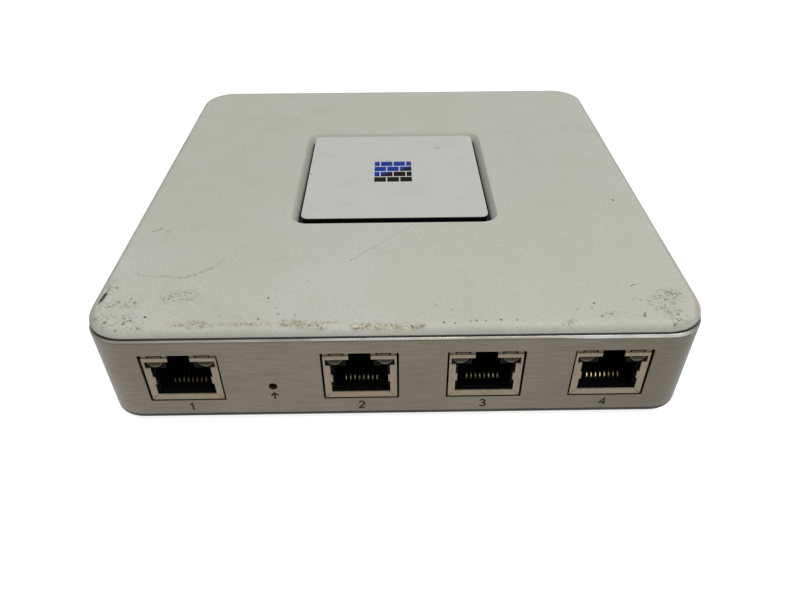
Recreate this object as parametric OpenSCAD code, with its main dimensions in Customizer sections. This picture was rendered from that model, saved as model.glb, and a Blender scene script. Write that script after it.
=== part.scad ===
// Desktop firewall appliance: white cover on a brushed metal tray, four network sockets in the front.
// Millimetres. X to the right, Y to the back (the sockets face -Y), Z up, feet stand on Z = 0.

/* [Overall] */
// Width of the cover, the widest part
width = 135; // [130:0.5:150]
// Depth of the cover, front to back
depth = 135; // [130:0.5:150]
// Height from the feet's underside to the top
height = 28.33; // [28:0.01:32]

/* [Cover] */
// Corner radius of the cover seen from above
cover_corner_r = 10; // [8:0.5:14]
// Rounding of the cover's top edge
cover_edge_r = 2.7; // [2.4:0.05:3.5]
// Height of the cover's side above the seam
cover_side = 2.36; // [2.3:0.01:3]
// Wall thickness of the cover
cover_wall = 1.8; // [1.5:0.1:2]
// Open seam between cover and tray
seam_gap = 0.45; // [0.25:0.05:0.5]
// Inset of the tray's top edge under the cover
tray_inset = 0.12; // [0.1:0.01:0.4]

/* [Centre panel] */
// Width of the white centre panel
panel_width = 49.2; // [44:0.1:54]
// Depth of the centre panel
panel_depth = 50; // [44:0.5:54]
// Corner radius of the centre panel
panel_corner_r = 2; // [1:0.25:4]
// Distance of the panel's centre behind the middle of the cover
panel_shift = 1.9; // [0:0.1:4]
// Thickness of the white panel
panel_thick = 0.25; // [0.2:0.05:0.6]
// Dark gap around the panel
moat_gap = 0.85; // [0.5:0.05:1]
// Width of the sloping edge of the recess
bevel_width = 1.65; // [1:0.05:2.2]
// Depth of the sloping edge of the recess
bevel_depth = 1.8; // [1.4:0.1:2]

/* [Tray] */
// Wall thickness of the metal tray
tray_wall = 1.25; // [1:0.05:1.4]
// Floor thickness of the tray
floor_thick = 1.2; // [1:0.1:1.4]
// Corner radius of the tray seen from above
tray_corner_r = 8.5; // [7:0.5:11]
// Radius of the rolled top lip
lip_r = 0.65; // [0.5:0.05:1.1]
// Radius of the tray's bottom edge
tray_edge_r = 1.07; // [0.6:0.01:1.1]
// Slope of the side walls, sideways per millimetre of height
wall_slope = 0.018; // [0.01:0.001:0.025]

/* [Network sockets] */
// Place of the first socket across the front
jack_1_x = -47.4; // [-47.4:0.1:-45]
// Place of the second socket
jack_2_x = -8.07; // [-10:0.01:-6]
// Place of the third socket
jack_3_x = 19.68; // [18:0.01:22]
// Place of the fourth socket
jack_4_x = 47.46; // [45:0.01:47.46]
// Width of the opening in the tray for one socket
port_width = 17.15; // [16.95:0.01:17.6]
// Depth of a socket, face to back
jack_depth = 21.3; // [20.8:0.1:23]
// Pitch of the eight contacts
contact_pitch = 1.016; // [1:0.001:1.03]

/* [Reset button] */
// Place of the reset hole across the front
reset_x = -27.8; // [-31:0.1:-25]
// Diameter of the reset hole
reset_hole_d = 2; // [1.6:0.1:2.4]
// Travel of the reset button
reset_travel = 0.25; // [0.2:0.01:0.3]

/* [Power inlet] */
// Place of the power inlet across the back
power_x = 44; // [38:0.5:46]
// Diameter of the inlet's bore
power_bore_d = 6; // [5.8:0.1:6.2]
// Diameter of the inlet's centre pin
power_pin_d = 2.1; // [2:0.05:2.5]

/* [Underside] */
// Height of the feet below the tray
foot_stand = 1.3; // [1.2:0.1:2]
// Diameter of a rubber foot
foot_d = 12; // [9:0.5:13]
// Distance between the two wall hooks
hook_spacing = 88; // [80:0.5:90]
// Diameter of a wall hook's round entry
hook_entry_d = 8; // [7:0.25:8.5]
// Width of a wall hook's slot
hook_slot_w = 4; // [3.5:0.1:4.2]

/* [Hidden] */
$fn = 64;
e = 0.01;
front = -depth / 2;
seam_z = height - cover_side;
lip_z = seam_z - seam_gap;
tray_hx = width / 2 - tray_inset;
tray_hy = depth / 2 - tray_inset;
tray_z = foot_stand;
floor_z = tray_z + floor_thick;
board_z = floor_z + 3.3;
board_t = 1.6;
top_z = board_z + board_t;
jack_xs = [jack_1_x, jack_2_x, jack_3_x, jack_4_x];
jack_y = front + 0.6;
port_z0 = top_z - 0.3;
port_z1 = top_z + 13.8;
shield_w = 16.2;
shield_h = 12.55;
shield_top = 13.25;
shield_t = 0.3;
wire_t = 0.35;
wire_z = 1.025;
jack_back = jack_y + jack_depth;
reset_z = top_z + 3.9;
reset_y = front + 2.3;
power_z = top_z + 6.5;
power_back = depth / 2 - 0.6;
boss_x = width / 2 - 7.4;
boss_y = depth / 2 - 7.6;
pad_z = floor_z + 1.5;
stand_xs = width / 2 - 8.5;
stand_ys = [-depth / 2 + 30, depth / 2 - 20];
pilot_r = 1.1;
plate_z = height - cover_wall;
well_top = height - bevel_depth;
well_floor = height - 3.03;
well_under = well_floor - 1.2;
recess_hx = panel_width / 2 + moat_gap;
recess_hy = panel_depth / 2 + moat_gap;
guide_top = height - panel_thick;
skirt_hx = tray_hx - tray_wall - 0.2;
skirt_hy = tray_hy - tray_wall - 0.2;
skirt_r = tray_corner_r - tray_wall - 0.2;
cpu_x = -4;
cpu_y = 6;
pipe_y = panel_shift - panel_depth / 2 + 2.4;
hook_y = 4;
usb_x = -45;
usb_y = 30;

// ---------- shared shapes ----------
module rrect(w, d, r) {
    square([w - 2 * r, d], center = true);
    square([w, d - 2 * r], center = true);
    for (sx = [-1, 1], sy = [-1, 1])
        translate([sx * (w / 2 - r), sy * (d / 2 - r)])
            circle(r = r);
}

// Sweeps a profile (x outward from the corner's centre, y up) round a rounded rectangle.
module round_sweep(hx, hy, r) {
    for (sx = [0, 1], sy = [0, 1])
        mirror([sx, 0, 0])
            mirror([0, sy, 0])
                translate([hx - r, hy - r, 0])
                    rotate_extrude(angle = 90)
                        children();
    for (sx = [0, 1])
        mirror([sx, 0, 0])
            translate([hx - r, 0, 0])
                rotate([90, 0, 0])
                    linear_extrude(height = 2 * (hy - r), center = true)
                        children();
    for (sy = [0, 1])
        mirror([0, sy, 0])
            translate([0, hy - r, 0])
                rotate([90, 0, 90])
                    linear_extrude(height = 2 * (hx - r), center = true)
                        children();
}

module core(hx, hy, r, z0, z1) {
    translate([-(hx - r), -(hy - r), z0])
        cube([2 * (hx - r), 2 * (hy - r), z1 - z0]);
}

module prism(w, d, r, z0, z1) {
    translate([0, 0, z0])
        linear_extrude(height = z1 - z0)
            rrect(w, d, r);
}

module box(x0, x1, y0, y1, z0, z1) {
    translate([x0, y0, z0])
        cube([x1 - x0, y1 - y0, z1 - z0]);
}

module rod(x, y, z0, z1, r) {
    translate([x, y, z0])
        cylinder(r = r, h = z1 - z0);
}

// A round bar along Y.
module bar(x, y0, y1, z, r) {
    translate([x, y1, z])
        rotate([90, 0, 0])
            cylinder(r = r, h = y1 - y0);
}

// A flat shape drawn in (y, z), pulled out along X about x = 0.
module slab_x(w) {
    rotate([90, 0, 90])
        linear_extrude(height = w, center = true)
            children();
}

module corners(x, y) {
    for (sx = [-1, 1], sy = [-1, 1])
        translate([sx * x, sy * y, 0])
            children();
}

module stands() {
    for (sx = [-1, 1], y = stand_ys)
        translate([sx * stand_xs, y, 0])
            children();
}

module at_jack(i) {
    translate([jack_xs[i], jack_y, top_z])
        children();
}

// ---------- tray ----------
module tray_profile() {
    top = tray_corner_r;
    low = top - wall_slope * (lip_z - lip_r - tray_z - tray_edge_r);
    polygon([
        [0, tray_z],
        [low - tray_edge_r, tray_z],
        [low, tray_z + tray_edge_r],
        [top, lip_z - lip_r],
        [top - lip_r, lip_z],
        [0, lip_z]
    ]);
    translate([low - tray_edge_r, tray_z + tray_edge_r])
        circle(r = tray_edge_r);
    translate([top - lip_r, lip_z - lip_r])
        circle(r = lip_r);
}

module tray_hollow_profile() {
    top = tray_corner_r - tray_wall;
    low = top - wall_slope * (lip_z - lip_r - floor_z);
    polygon([
        [0, floor_z],
        [low, floor_z],
        [top, lip_z - lip_r],
        [top, lip_z + 1],
        [0, lip_z + 1]
    ]);
}

module port_hole(x) {
    translate([x, front - 1, (port_z0 + port_z1) / 2])
        rotate([-90, 0, 0])
            linear_extrude(height = 4)
                rrect(port_width, port_z1 - port_z0, 0.25);
}

module hook_hole(sx) {
    rod(sx * hook_spacing / 2, hook_y, tray_z - 1, floor_z + 1, hook_entry_d / 2);
    rod(sx * hook_spacing / 2, hook_y + 8, tray_z - 1, floor_z + 1, hook_slot_w / 2);
    translate([sx * hook_spacing / 2 - hook_slot_w / 2, hook_y, tray_z - 1])
        cube([hook_slot_w, 8, floor_thick + 2]);
}

module vent_slots() {
    for (i = [-4 : 4], y = [-22, 32])
        translate([i * 6, y, tray_z - 1])
            linear_extrude(height = floor_thick + 2)
                rrect(2, 18, 0.95);
}

module body_shell() {
    color([0.62, 0.6, 0.55])
    difference() {
        union() {
            difference() {
                union() {
                    core(tray_hx, tray_hy, tray_corner_r, tray_z, lip_z);
                    round_sweep(tray_hx, tray_hy, tray_corner_r)
                        tray_profile();
                }
                core(tray_hx, tray_hy, tray_corner_r, floor_z, lip_z + 1);
                round_sweep(tray_hx, tray_hy, tray_corner_r)
                    tray_hollow_profile();
            }
            corners(boss_x, boss_y)
                rod(0, 0, floor_z - 0.3, pad_z, 4);
        }
        for (x = jack_xs)
            port_hole(x);
        bar(reset_x, front - 1, front + 3, reset_z, reset_hole_d / 2);
        bar(power_x, depth / 2 - 3, depth / 2 + 1, power_z, 4.1);
        corners(boss_x, boss_y) {
            rod(0, 0, tray_z - 1, pad_z + 1, 1.7);
            rod(0, 0, tray_z - 1, tray_z + 1.3, 3.1);
        }
        corners(width / 2 - 18, depth / 2 - 18)
            rod(0, 0, tray_z - 1, tray_z + 0.4, foot_d / 2 + 0.2);
        stands()
            rod(0, 0, tray_z - 1, floor_z + 1, 1.8);
        hook_hole(-1);
        hook_hole(1);
        vent_slots();
    }
}

module standoffs() {
    color([0.72, 0.6, 0.35])
    stands()
        difference() {
            union() {
                rod(0, 0, tray_z + 0.1, floor_z + 0.5, 1.78);
                rod(0, 0, floor_z, board_z, 2.75);
            }
            rod(0, 0, floor_z + 0.4, board_z + 1, 1.25);
        }
}

module rubber_feet() {
    color([0.13, 0.13, 0.13])
    corners(width / 2 - 18, depth / 2 - 18)
        rotate_extrude()
            difference() {
                square([foot_d / 2, tray_z + 0.4]);
                polygon([
                    [foot_d / 2 - 0.5, -0.1],
                    [foot_d / 2 + 0.1, -0.1],
                    [foot_d / 2 + 0.1, 0.5]
                ]);
            }
}

// ---------- cover ----------
module cover_profile() {
    arc_z = height - cover_edge_r;
    intersection() {
        translate([0, seam_z])
            square([cover_corner_r, cover_side]);
        union() {
            translate([0, seam_z - 2])
                square([cover_corner_r - cover_edge_r, cover_side + 2]);
            translate([0, seam_z - 2])
                square([cover_corner_r, arc_z - seam_z + 2]);
            translate([cover_corner_r - cover_edge_r, arc_z])
                circle(r = cover_edge_r);
        }
    }
}

module recess_profile() {
    polygon([
        [0, well_top],
        [panel_corner_r + moat_gap, well_top],
        [panel_corner_r + moat_gap + bevel_width, height],
        [panel_corner_r + moat_gap + bevel_width, height + 1],
        [0, height + 1]
    ]);
}

module top_cover() {
    rhx = recess_hx + bevel_width;
    rhy = recess_hy + bevel_width;
    rr = panel_corner_r + moat_gap + bevel_width;
    color([0.83, 0.83, 0.79])
    difference() {
        union() {
            difference() {
                union() {
                    core(width / 2, depth / 2, cover_corner_r, seam_z, height);
                    round_sweep(width / 2, depth / 2, cover_corner_r)
                        cover_profile();
                }
                prism(width - 6.6, depth - 6.6, cover_corner_r - 3.3, seam_z - 1, plate_z);
            }
            difference() {
                union() {
                    prism(2 * skirt_hx, 2 * skirt_hy, skirt_r, lip_z - 2.8, seam_z + 0.3);
                    prism(2 * skirt_hx + 1.6, 2 * skirt_hy + 1.6, skirt_r + 0.8, lip_z, seam_z + 0.3);
                }
                prism(2 * skirt_hx - 3, 2 * skirt_hy - 3, skirt_r - 1.5, lip_z - 4, seam_z + 1);
            }
            corners(boss_x, boss_y)
                rod(0, 0, pad_z, plate_z + 0.3, 3);
            translate([0, panel_shift, 0])
                prism(2 * recess_hx + 3, 2 * recess_hy + 3, 3, well_under, plate_z + 0.3);
        }
        translate([0, panel_shift, 0]) {
            core(rhx, rhy, rr, well_top, height + 1);
            round_sweep(rhx, rhy, rr)
                recess_profile();
            prism(2 * recess_hx, 2 * recess_hy, panel_corner_r + moat_gap, well_floor, height);
        }
        corners(boss_x, boss_y)
            rod(0, 0, pad_z - 1, plate_z - 2.5, pilot_r);
        rod(0, pipe_y, well_under - 1, well_floor + 1, 1.6);
        for (sx = [-1, 1], sy = [-1, 1])
            rod(sx * 20, panel_shift + sy * 19, well_under - 1, well_floor + 1, 1.25);
    }
}

module center_panel() {
    color([0.87, 0.87, 0.84])
    translate([0, panel_shift, 0])
        prism(panel_width, panel_depth, panel_corner_r, guide_top, height);
}

module status_light_guide() {
    color([0.06, 0.06, 0.07])
    union() {
        translate([0, panel_shift, 0])
            difference() {
                prism(panel_width - 0.2, panel_depth - 0.2, panel_corner_r - 0.1, well_floor, guide_top);
                prism(panel_width - 8, panel_depth - 12, 1, well_floor - 1, well_floor + 1);
            }
        for (sx = [-1, 1], sy = [-1, 1])
            rod(sx * 20, panel_shift + sy * 19, well_under - 0.6, guide_top - 0.5, 1.2);
    }
}

module light_pipe() {
    color([0.85, 0.88, 0.9, 0.6])
    union() {
        rod(0, pipe_y, top_z + 0.95, well_floor, 1.5);
        rod(0, pipe_y, well_under - 0.8, well_under, 2.5);
    }
}

module cross_recess(z0, z1, s) {
    box(-s, s, -0.3, 0.3, z0, z1);
    box(-0.3, 0.3, -s, s, z0, z1);
}

module cover_screws() {
    color([0.35, 0.35, 0.36])
    corners(boss_x, boss_y)
        difference() {
            union() {
                rod(0, 0, tray_z + 0.2, tray_z + 1.3, 2.7);
                rod(0, 0, tray_z + 1.2, pad_z + 8, pilot_r - 0.02);
            }
            cross_recess(tray_z - 1, tray_z + 0.9, 1.4);
        }
}

// ---------- main board ----------
module board_holes() {
    for (x = jack_xs)
        translate([x, jack_y]) {
            for (i = [0 : 7])
                translate([(i - 3.5) * contact_pitch, 16.275])
                    circle(r = 0.36);
            for (sx = [-1, 1]) {
                translate([sx * 5.6 - 0.635, 19.075])
                    circle(r = 0.4);
                translate([sx * 5.6 + 0.635, 19.075])
                    circle(r = 0.4);
                translate([sx * 5.7, 9])
                    circle(r = 1.65);
                translate([sx * (shield_w / 2 - 0.15), 5])
                    square([0.6, 2], center = true);
                translate([sx * (shield_w / 2 - 0.15), 14])
                    square([0.6, 2], center = true);
            }
        }
    for (sx = [-1, 1], y = stand_ys)
        translate([sx * stand_xs, y])
            circle(r = 1.5);
    for (s = [-1, 1])
        translate([cpu_x + s * 15.5, cpu_y - s * 15.5])
            circle(r = 1.6);
    for (sx = [-1, 1])
        translate([reset_x + sx * 2.5, reset_y + 4])
            circle(r = 0.6);
    translate([power_x, power_back - 15.35])
        square([2.2, 0.9], center = true);
    translate([power_x, power_back - 12.35])
        square([2.8, 0.9], center = true);
    for (sx = [-1, 1])
        translate([usb_x + sx * 6.4, usb_y - 5])
            square([0.7, 2.4], center = true);
}

module main_board() {
    bx = width / 2 - 3.2;
    y0 = front + 2.3;
    y1 = depth / 2 - 3.2;
    color([0.05, 0.28, 0.16])
    translate([0, 0, board_z])
        linear_extrude(height = board_t)
            difference() {
                translate([-bx, y0])
                    square([2 * bx, y1 - y0]);
                for (sx = [-1, 1], sy = [-1, 1])
                    translate([sx * (boss_x + 6.05), sy * (boss_y + 6)])
                        square([20, 20], center = true);
                board_holes();
            }
}

module board_screws() {
    color([0.75, 0.75, 0.74])
    stands()
        difference() {
            union() {
                rod(0, 0, top_z, top_z + 1.6, 2.3);
                rod(0, 0, floor_z + 0.8, top_z + 0.1, 1.23);
            }
            cross_recess(top_z + 0.7, top_z + 2, 1.2);
        }
}

// ---------- network sockets: local x across, y in from the face, z up from the board ----------
module spring_finger_top(x) {
    translate([x, 0, 0])
        slab_x(2.6)
            polygon([
                [0.25, shield_h - 0.15],
                [0.25, shield_h + 0.07],
                [1.35, shield_top + 0.25],
                [1.85, shield_top + 0.25],
                [5.6, shield_top],
                [5.6, shield_top - shield_t],
                [5.1, shield_top - shield_t],
                [1.83, shield_top - 0.03],
                [1.45, shield_top - 0.03],
                [0.55, shield_h],
                [0.55, shield_h - 0.15]
            ]);
}

module spring_finger_side(sx) {
    w = shield_w / 2;
    mirror([sx, 0, 0])
        translate([0, 0, 5.1])
            linear_extrude(height = 1.9)
                polygon([
                    [w - 0.2, 0.2],
                    [w + 0.33, 1.3],
                    [w + 0.33, 1.7],
                    [w - 0.2, 5.5],
                    [w - 0.2, 4.6],
                    [w + 0.1, 1.7],
                    [w - 0.2, 0.7]
                ]);
}

module socket_shield() {
    w = shield_w / 2;
    t = shield_t;
    step = 0.25;
    color([0.72, 0.66, 0.56])
    union() {
        difference() {
            union() {
                box(-w, w, 0, jack_depth, 0, shield_h);
                box(-w, w, step, jack_depth, shield_h - step, shield_top);
            }
            box(-w + t, w - t, t, jack_depth - t, -1, shield_h - step);
            box(-w + t, w - t, step + t, jack_depth - t, shield_h - step - 0.1, shield_top - t);
            box(-6.6, 6.6, -1, 1, 1.55, 9.7);
            box(-7.65, 7.65, -1, t + e, 9.68, 11.57);
            box(-2.45, 2.45, -1, 1.9, 9, shield_top + 1);
            for (sx = [-1, 1]) {
                box(sx * 5.15 - 1.7, sx * 5.15 + 1.7, -1, 5.3, shield_h, shield_top + 1);
                translate([sx * 7.5, 0, 0.6])
                    rotate([0, -sx * 45, 0])
                        box(-0.07, 0.07, -1, t + e, -1, 0.9);
            }
        }
        for (sx = [0, 1])
            mirror([sx, 0, 0]) {
                box(6.2, 6.9, 0, t, 4.84, 6.83);
                box(w - t, w, 4.2, 5.8, -2.6, 0.1);
                box(w - t, w, 13.2, 14.8, -2.6, 0.1);
            }
        spring_finger_top(-5.15);
        spring_finger_top(5.15);
        spring_finger_side(0);
        spring_finger_side(1);
    }
}

module socket_insert() {
    w = shield_w / 2 - shield_t - 0.02;
    y1 = 18.5;
    shelf = shield_h - 0.3;
    color([0.07, 0.07, 0.07])
    difference() {
        union() {
            difference() {
                box(-w, w, shield_t, y1, 0, shelf);
                for (sx = [-1, 1])
                    bar(sx * 5.6, -1, 8, 11.45, 1.95);
            }
            box(-w, w, 1.25, y1, shelf - e, shield_top - shield_t - 0.06);
            rod(-5.7, 9, -2.4, 0.5, 1.6);
            rod(5.7, 9, -2.4, 0.5, 1.6);
        }
        box(-6, 6, -1, 13.6, 1.75, 9.6);
        box(-3.1, 3.1, -1, 13, 9.5, shield_top + 1);
        box(-6.6, 6.6, -1, 1, 1.55, 9.6);
        for (sx = [-1, 1])
            box(sx * 5.6 - 1, sx * 5.6 + 1, 7.5, y1 + 1, 10.75, 11.45);
        for (i = [0 : 7])
            translate([(i - 3.5) * contact_pitch, 0, 0]) {
                box(-0.2, 0.2, 3.2, 16.6, wire_z, 2);
                box(-0.2, 0.2, 15.9, 16.6, -1, 2);
            }
    }
}

// One bent wire, drawn in (y, z).
module wire_shape() {
    r = 0.975;
    cy = 4.4;
    cz = wire_z + r;
    translate([cy, wire_z])
        square([12.05, wire_t]);
    translate([16.1, -2.6])
        square([wire_t, wire_z + wire_t + 2.6]);
    difference() {
        translate([cy, cz])
            circle(r = r);
        translate([cy, cz])
            circle(r = r - wire_t);
        translate([cy, cz])
            rotate(26)
                square([4, 4]);
        translate([cy, cz])
            rotate(-64)
                square([4, 4]);
        translate([cy, cz - 4])
            square([4, 4]);
    }
    translate([cy, cz])
        rotate(26)
            translate([0, r - wire_t])
                square([9, wire_t]);
}

module socket_contacts() {
    color([0.85, 0.65, 0.25])
    for (i = [0 : 7])
        translate([(i - 3.5) * contact_pitch, 0, 0])
            slab_x(wire_t)
                wire_shape();
}

module lens_profile() {
    square([1.9, 7.25]);
    square([1.5, 7.65]);
    translate([1.5, 7.25])
        circle(r = 0.4);
}

module socket_lamps() {
    color([0.62, 0.64, 0.6, 0.8])
    for (sx = [-1, 1]) {
        intersection() {
            translate([sx * 5.6, 8, 11.45])
                rotate([90, 0, 0])
                    rotate_extrude()
                        lens_profile();
            box(sx * 5.6 - 3, sx * 5.6 + 3, 0, 9, 5, shield_h - 0.33);
        }
        for (dx = [-0.635, 0.635])
            translate([sx * 5.6 + dx, 0, 0]) {
                box(-0.225, 0.225, 7.9, 19.3, 10.85, 11.3);
                box(-0.225, 0.225, 18.85, 19.3, -2.6, 11.3);
            }
    }
}

module jack_1_shield() { at_jack(0) socket_shield(); }
module jack_1_insert() { at_jack(0) socket_insert(); }
module jack_1_contacts() { at_jack(0) socket_contacts(); }
module jack_1_lamps() { at_jack(0) socket_lamps(); }
module jack_2_shield() { at_jack(1) socket_shield(); }
module jack_2_insert() { at_jack(1) socket_insert(); }
module jack_2_contacts() { at_jack(1) socket_contacts(); }
module jack_2_lamps() { at_jack(1) socket_lamps(); }
module jack_3_shield() { at_jack(2) socket_shield(); }
module jack_3_insert() { at_jack(2) socket_insert(); }
module jack_3_contacts() { at_jack(2) socket_contacts(); }
module jack_3_lamps() { at_jack(2) socket_lamps(); }
module jack_4_shield() { at_jack(3) socket_shield(); }
module jack_4_insert() { at_jack(3) socket_insert(); }
module jack_4_contacts() { at_jack(3) socket_contacts(); }
module jack_4_lamps() { at_jack(3) socket_lamps(); }

// ---------- reset switch: local y in from the button's tip ----------
module at_reset() {
    translate([reset_x, reset_y, 0])
        children();
}

module reset_switch_body() {
    color([0.12, 0.12, 0.13])
    at_reset()
        difference() {
            union() {
                box(-3.3, 3.3, 2.2, 6.2, top_z, reset_z + 3.6);
                rod(-2.5, 4, top_z - 2.4, top_z + 0.5, 0.5);
                rod(2.5, 4, top_z - 2.4, top_z + 0.5, 0.5);
            }
            bar(0, 2, 3.2, reset_z, 1.58);
            bar(0, 2.7, 4.6, reset_z, 2.5);
        }
}

module reset_dome() {
    color([0.8, 0.8, 0.78])
    at_reset()
        translate([0, 4.6, reset_z])
            rotate([90, 0, 0])
                rotate_extrude()
                    polygon([
                        [0, 0.32],
                        [0.9, 0.32],
                        [2.1, 0],
                        [2.4, 0],
                        [2.4, 0.12],
                        [2.1, 0.14],
                        [0.9, 0.45],
                        [0, 0.45]
                    ]);
}

module reset_plunger() {
    color([0.2, 0.2, 0.2])
    at_reset() {
        bar(0, 0, 3.2, reset_z, 1.5);
        bar(0, 2.85, 3.45, reset_z, 2.2);
        bar(0, 3.2, 3.75, reset_z, 0.8);
    }
}

// ---------- power inlet: local y back from the collar's face ----------
module at_power() {
    translate([power_x, power_back, 0])
        mirror([0, 1, 0])
            children();
}

module power_jack_housing() {
    color([0.08, 0.08, 0.08])
    at_power()
        difference() {
            union() {
                box(-4.5, 4.5, 1.4, 14.6, top_z, power_z + 4.5);
                bar(0, 0, 2, power_z, 3.9);
            }
            bar(0, -1, 9.6, power_z, power_bore_d / 2);
            bar(0, 9, 16, power_z, power_pin_d / 2 + 0.33);
            box(-1.3, 1.3, 3, 15, power_z - 4.4, power_z - 2);
            box(-1.3, 1.3, 11.6, 13, top_z - 1, power_z - 4);
        }
}

module power_jack_pin() {
    color([0.8, 0.8, 0.78])
    at_power() {
        bar(0, 1, 10, power_z, power_pin_d / 2);
        bar(0, 9.6, 14.6, power_z, power_pin_d / 2 + 0.3);
        bar(0, 14.6, 15.2, power_z, 2);
        box(-0.9, 0.9, 15.1, 15.6, top_z - 2.6, power_z + 0.5);
    }
}

module power_jack_spring() {
    color([0.8, 0.8, 0.76])
    at_power()
        slab_x(2.2)
            polygon([
                [3.2, power_z - 4.4],
                [12.1, power_z - 4.4],
                [12.1, top_z - 2.6],
                [12.6, top_z - 2.6],
                [12.6, power_z - 4.1],
                [9.4, power_z - 4.1],
                [6.2, power_z - 2.55],
                [5.4, power_z - 2.55],
                [3.4, power_z - 3.7],
                [3.5, power_z - 3.9],
                [5.6, power_z - 2.8],
                [6, power_z - 2.8],
                [8.7, power_z - 4.1],
                [3.2, power_z - 4.1]
            ]);
}

// ---------- electronics ----------
module processor() {
    color([0.16, 0.3, 0.2])
    translate([cpu_x, cpu_y, top_z]) {
        box(-13.5, 13.5, -13.5, 13.5, 0, 1.1);
        box(-10, 10, -10, 10, 1, 2);
    }
}

module thermal_pad() {
    color([0.75, 0.72, 0.62])
    translate([cpu_x, cpu_y, top_z])
        box(-10, 10, -10, 10, 2, 2.5);
}

module heatsink() {
    color([0.3, 0.31, 0.33])
    translate([cpu_x, cpu_y, top_z + 2.5])
        difference() {
            union() {
                box(-19, 19, -19, 19, 0, 2.5);
                for (i = [0 : 9])
                    box(-19 + i * 4.1, -17.9 + i * 4.1, -19, 19, 2, 11);
            }
            for (s = [-1, 1])
                translate([s * 15.5, -s * 15.5, 0]) {
                    rod(0, 0, -1, 4, 1.6);
                    rod(0, 0, 2.5, 14, 3.6);
                }
        }
}

module heatsink_pins() {
    color([0.85, 0.83, 0.75])
    translate([cpu_x, cpu_y, 0])
        for (s = [-1, 1])
            translate([s * 15.5, -s * 15.5, 0]) {
                rod(0, 0, top_z + 5, top_z + 6.2, 2.8);
                rod(0, 0, board_z - 1.2, top_z + 5.1, 1.35);
                translate([0, 0, board_z - 1.9])
                    cylinder(r1 = 1, r2 = 1.9, h = 1.9);
            }
}

module chip(x, y, w, d, h) {
    translate([x, y, top_z])
        box(-w / 2, w / 2, -d / 2, d / 2, 0, h);
}

module memory_chips() {
    color([0.09, 0.09, 0.1]) {
        chip(26, 0, 9, 13, 1.1);
        chip(26, 16, 9, 13, 1.1);
        chip(38, 8, 11, 14, 1.1);
    }
}

module ethernet_chips() {
    color([0.1, 0.1, 0.11])
    for (x = [-12, 24, 46])
        chip(x, jack_back + 22.1, 9, 9, 1);
}

module magnetics_modules() {
    color([0.12, 0.12, 0.12])
    for (i = [1 : 3])
        chip(jack_xs[i], jack_back + 10.1, 17, 12, 6);
}

module small_chips() {
    color([0.1, 0.1, 0.1]) {
        chip(jack_1_x, jack_back + 8.1, 10, 5.3, 2);
        chip(-24, front + 32, 5, 6, 1.5);
        chip(20, depth / 2 - 30, 5, 6, 1.5);
        chip(-26, depth / 2 - 24, 8, 8, 1);
    }
}

module inductors() {
    color([0.25, 0.25, 0.27])
    for (x = [4, 16, 28])
        translate([x, depth / 2 - 18, 0])
            prism(8, 8, 1.5, top_z, top_z + 4.2);
}

module capacitors() {
    color([0.2, 0.2, 0.24])
    for (x = [-22, -11])
        translate([x, depth / 2 - 12, 0]) {
            box(-4.2, 4.2, -4.2, 4.2, top_z, top_z + 1);
            rod(0, 0, top_z + 0.9, top_z + 10, 4);
        }
}

module crystals() {
    color([0.8, 0.8, 0.8]) {
        translate([-31, -6, 0])
            prism(4.7, 11, 2.3, top_z, top_z + 3.5);
        translate([36, jack_back + 22.1, 0])
            prism(3.2, 5, 0.4, top_z, top_z + 1);
    }
}

module status_led() {
    color([0.9, 0.9, 0.85])
    translate([0, pipe_y, top_z]) {
        box(-1.6, 1.6, -1.4, 1.4, 0, 0.5);
        rod(0, 0, 0.4, 0.85, 1.1);
    }
}

module usb_shell() {
    color([0.75, 0.75, 0.74])
    translate([usb_x, usb_y, top_z])
        union() {
            difference() {
                box(-6.55, 6.55, -14, 0, 0, 5.72);
                box(-6.25, 6.25, -15, -0.3, 0.3, 5.42);
            }
            for (sx = [0, 1])
                mirror([sx, 0, 0])
                    box(6.25, 6.55, -5.8, -4.2, -2.6, 0.1);
        }
}

module usb_tongue() {
    color([0.92, 0.92, 0.9])
    translate([usb_x, usb_y, top_z])
        union() {
            box(-6.2, 6.2, -2.6, -0.3, 0.32, 5.4);
            box(-5.5, 5.5, -12.5, -2.5, 3.2, 5.1);
        }
}

module flash_drive_plug() {
    color([0.76, 0.76, 0.76])
    translate([usb_x, usb_y, top_z])
        difference() {
            box(-6, 6, -18, -2.65, 0.6, 5.3);
            box(-5.7, 5.7, -17, -2, 0.9, 2.2);
            box(-5.7, 5.7, -17, -2, 2.9, 5.18);
        }
}

module flash_drive_case() {
    color([0.12, 0.12, 0.13])
    translate([usb_x, usb_y, top_z])
        difference() {
            translate([0, -26, 0])
                prism(15, 19, 2, 0, 7);
            box(-6.02, 6.02, -18, -10, 0.58, 5.32);
        }
}

body_shell();
top_cover();
center_panel();
status_light_guide();
light_pipe();
main_board();
jack_1_shield();
jack_1_insert();
jack_1_contacts();
jack_1_lamps();
jack_2_shield();
jack_2_insert();
jack_2_contacts();
jack_2_lamps();
jack_3_shield();
jack_3_insert();
jack_3_contacts();
jack_3_lamps();
jack_4_shield();
jack_4_insert();
jack_4_contacts();
jack_4_lamps();
reset_switch_body();
reset_dome();
reset_plunger();
power_jack_housing();
power_jack_pin();
power_jack_spring();
processor();
thermal_pad();
heatsink();
heatsink_pins();
memory_chips();
ethernet_chips();
magnetics_modules();
small_chips();
inductors();
capacitors();
crystals();
status_led();
usb_shell();
usb_tongue();
flash_drive_plug();
flash_drive_case();
standoffs();
board_screws();
cover_screws();
rubber_feet();
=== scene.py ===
import math

import bmesh
import bpy
from mathutils import Matrix, Vector


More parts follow.
